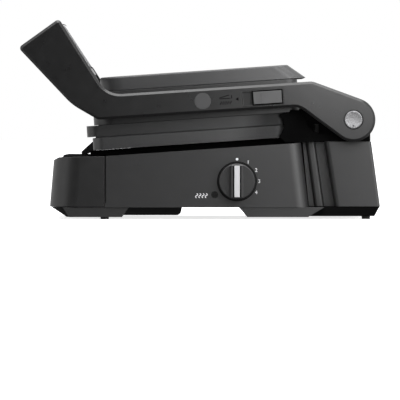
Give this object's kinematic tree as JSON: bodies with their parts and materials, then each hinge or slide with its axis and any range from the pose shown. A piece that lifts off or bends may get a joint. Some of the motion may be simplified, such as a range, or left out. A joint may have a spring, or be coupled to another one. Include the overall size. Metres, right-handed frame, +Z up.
{
  "type": "electric contact griddle",
  "caption": "Table-top electric contact griddle: sloping ribbed plates, lid hung between side arms with a raised U handle, side dial, front drip drawer and a rear hinge that opens it flat.",
  "frame": {"origin": "on the surface that the feet stand on, under the middle of the base, level with the soles of the feet", "axes": "+X from the handle to the hinge, +Z up, the dial on the -Y side"},
  "size_m": [0.3833, 0.3538, 0.2119],
  "materials": {
    "case_plastic": "fine satin grain",
    "arm_plastic": "satin",
    "black_plastic": "matt",
    "panel_gloss": "polished",
    "window_gloss": "polished",
    "plate_coat": "non-stick coat on die-cast aluminium",
    "pressed_aluminium": "plain",
    "element_steel": "oxidised",
    "bright_steel": "brushed",
    "light_plastic": "satin white",
    "foot_rubber": "matt",
    "lens_plastic": "polished, translucent",
    "board": "solder mask",
    "ceramic": "glazed ceramic or mica"
  },
  "bodies": {
    "base": {"base_shell": "case_plastic", "rear_housing": "case_plastic", "bottom_cover": "case_plastic", "rubber_feet": "foot_rubber", "base_screws": "bright_steel", "hinge_bracket_right": "black_plastic", "hinge_bracket_left": "black_plastic", "hinge_cover": "black_plastic", "plate_surround": "black_plastic", "hinge_pins": "bright_steel", "lid_rest_posts": "black_plastic", "lower_plate": "plate_coat", "lower_reflector": "pressed_aluminium", "lower_heating_element": "element_steel", "temperature_probe": "bright_steel", "lower_thermal_cutout": "ceramic", "control_board": "board", "power_relay": "black_plastic", "dial_switch": "black_plastic", "terminal_block": "ceramic", "indicator_lens": "lens_plastic", "cord_bush": "foot_rubber"},
    "arms": {"arm_right": "arm_plastic", "arm_left": "arm_plastic", "arm_cover_right": "arm_plastic", "arm_cover_left": "arm_plastic", "arm_screws": "bright_steel", "hinge_caps": "bright_steel", "pivot_caps": "arm_plastic", "lock_frame": "black_plastic", "handle_shell": "arm_plastic", "handle_cover": "arm_plastic", "control_panel": "panel_gloss", "display_lens": "lens_plastic", "display_board": "board", "handle_window": "window_gloss"},
    "lid": {"lid_shell": "case_plastic", "lid_top_cover": "case_plastic", "lid_frame": "black_plastic", "upper_plate": "plate_coat", "upper_reflector": "pressed_aluminium", "upper_heating_element": "element_steel", "upper_thermal_cutout": "ceramic", "pivot_studs": "bright_steel", "lid_screws": "bright_steel"},
    "drawer": {"drawer_front": "case_plastic", "drip_pan": "black_plastic"},
    "dial": {"dial_knob": "arm_plastic", "dial_insert": "light_plastic", "dial_shaft": "bright_steel"},
    "lock": {"lock_slider": "case_plastic"},
    "power_key": {"power_button": "panel_gloss"},
    "programme_down_key": {"programme_down_button": "panel_gloss"},
    "programme_up_key": {"programme_up_button": "panel_gloss"},
    "start_key": {"start_button": "panel_gloss"},
    "lower_catch": {"lower_release": "arm_plastic"},
    "upper_catch": {"upper_release": "arm_plastic"}
  },
  "joints": [
    {"name": "arms_swing", "type": "hinge", "parent": "base", "child": "arms", "pos_m": [0.1633, 0, 0.106], "axis": [0, 1, 0], "range_deg": [0, 180]},
    {"name": "lid_float", "type": "hinge", "parent": "arms", "child": "lid", "pos_m": [0.0029, 0, 0.1258], "axis": [0, 1, 0], "range_deg": [-0.4, 0.4]},
    {"name": "drawer_slide", "type": "slide", "parent": "base", "child": "drawer", "axis": [-1, 0, 0], "range_m": [0, 0.13]},
    {"name": "dial_turn", "type": "hinge", "parent": "base", "child": "dial", "pos_m": [0.0394, -0.168, 0.0404], "axis": [0, 1, 0], "range_deg": [0, 120]},
    {"name": "lock_slide", "type": "slide", "parent": "arms", "child": "lock", "axis": [-0.9977, 0, -0.068], "range_m": [0, 0.01]},
    {"name": "power_press", "type": "slide", "parent": "arms", "child": "power_key", "axis": [0.5816, 0, -0.8135], "range_m": [0, 0.0008], "stiffness_N_per_m": 800, "springref_m": -0.0006},
    {"name": "programme_down_press", "type": "slide", "parent": "arms", "child": "programme_down_key", "axis": [0.5816, 0, -0.8135], "range_m": [0, 0.0008], "stiffness_N_per_m": 800, "springref_m": -0.0006},
    {"name": "programme_up_press", "type": "slide", "parent": "arms", "child": "programme_up_key", "axis": [0.5816, 0, -0.8135], "range_m": [0, 0.0008], "stiffness_N_per_m": 800, "springref_m": -0.0006},
    {"name": "start_press", "type": "slide", "parent": "arms", "child": "start_key", "axis": [0.5816, 0, -0.8135], "range_m": [0, 0.0008], "stiffness_N_per_m": 800, "springref_m": -0.0006},
    {"name": "lower_release_press", "type": "slide", "parent": "base", "child": "lower_catch", "axis": [0, -1, 0], "range_m": [0, 0.0025], "stiffness_N_per_m": 700, "springref_m": -0.001},
    {"name": "upper_release_press", "type": "slide", "parent": "lid", "child": "upper_catch", "axis": [0.9977, 0, 0.068], "range_m": [0, 0.0025], "stiffness_N_per_m": 700, "springref_m": -0.001}
  ]
}
